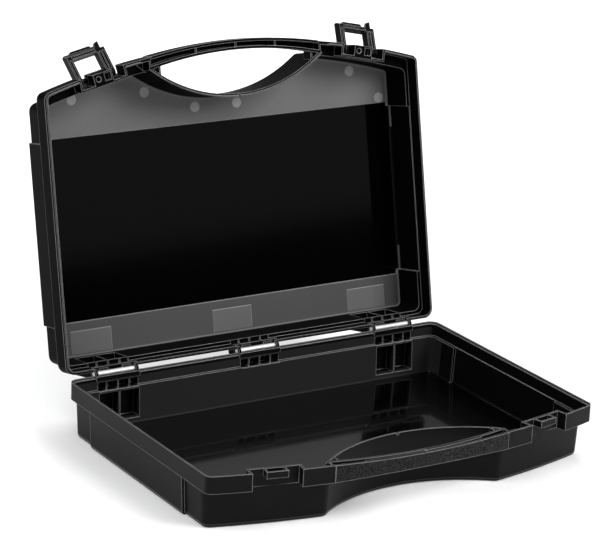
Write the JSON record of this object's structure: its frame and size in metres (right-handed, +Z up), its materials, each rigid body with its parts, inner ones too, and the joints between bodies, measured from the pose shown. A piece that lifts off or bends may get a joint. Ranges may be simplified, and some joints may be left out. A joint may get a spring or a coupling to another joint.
{
  "type": "hard tool case",
  "caption": "Black plastic carrying case with a bowed front, a moulded scooped handle, flip latches and a lid held open on pin hinges.",
  "frame": {"origin": "middle of the flat face the base stands on, half-way between the side walls and between the bow's crown and the rear rim", "axes": "+X to the right seen from the front, +Y towards the hinges, +Z up; shown with the lid open on its stop and both latches flipped open"},
  "size_m": [0.34, 0.333, 0.2895],
  "materials": {
    "case_base": "black injection-moulded polypropylene, satin outside, smoother inside",
    "case_lid": "black injection-moulded polypropylene, satin outside, glossy panel inside",
    "latch": "black injection-moulded plastic, satin",
    "pin_steel": "bright drawn steel rod"
  },
  "bodies": {
    "base": {"base_shell": "case_base"},
    "lid": {"lid_shell": "case_lid", "hinge_pin_left": "pin_steel", "hinge_pin_centre": "pin_steel", "hinge_pin_right": "pin_steel"},
    "latch_left": {"latch_left": "latch"},
    "latch_right": {"latch_right": "latch"}
  },
  "joints": [
    {"name": "lid_hinge", "type": "hinge", "parent": "base", "child": "lid", "pos_m": [0, 0.123, 0.0445], "axis": [1, 0, 0], "range_deg": [0, 102]},
    {"name": "latch_left_pivot", "type": "hinge", "parent": "lid", "child": "latch_left", "pos_m": [-0.11866, 0.18149, 0.26437], "axis": [0.9781, 0.0432, 0.2034], "range_deg": [0, 115]},
    {"name": "latch_right_pivot", "type": "hinge", "parent": "lid", "child": "latch_right", "pos_m": [0.11866, 0.18149, 0.26437], "axis": [0.9781, -0.0432, -0.2034], "range_deg": [0, 115]}
  ]
}
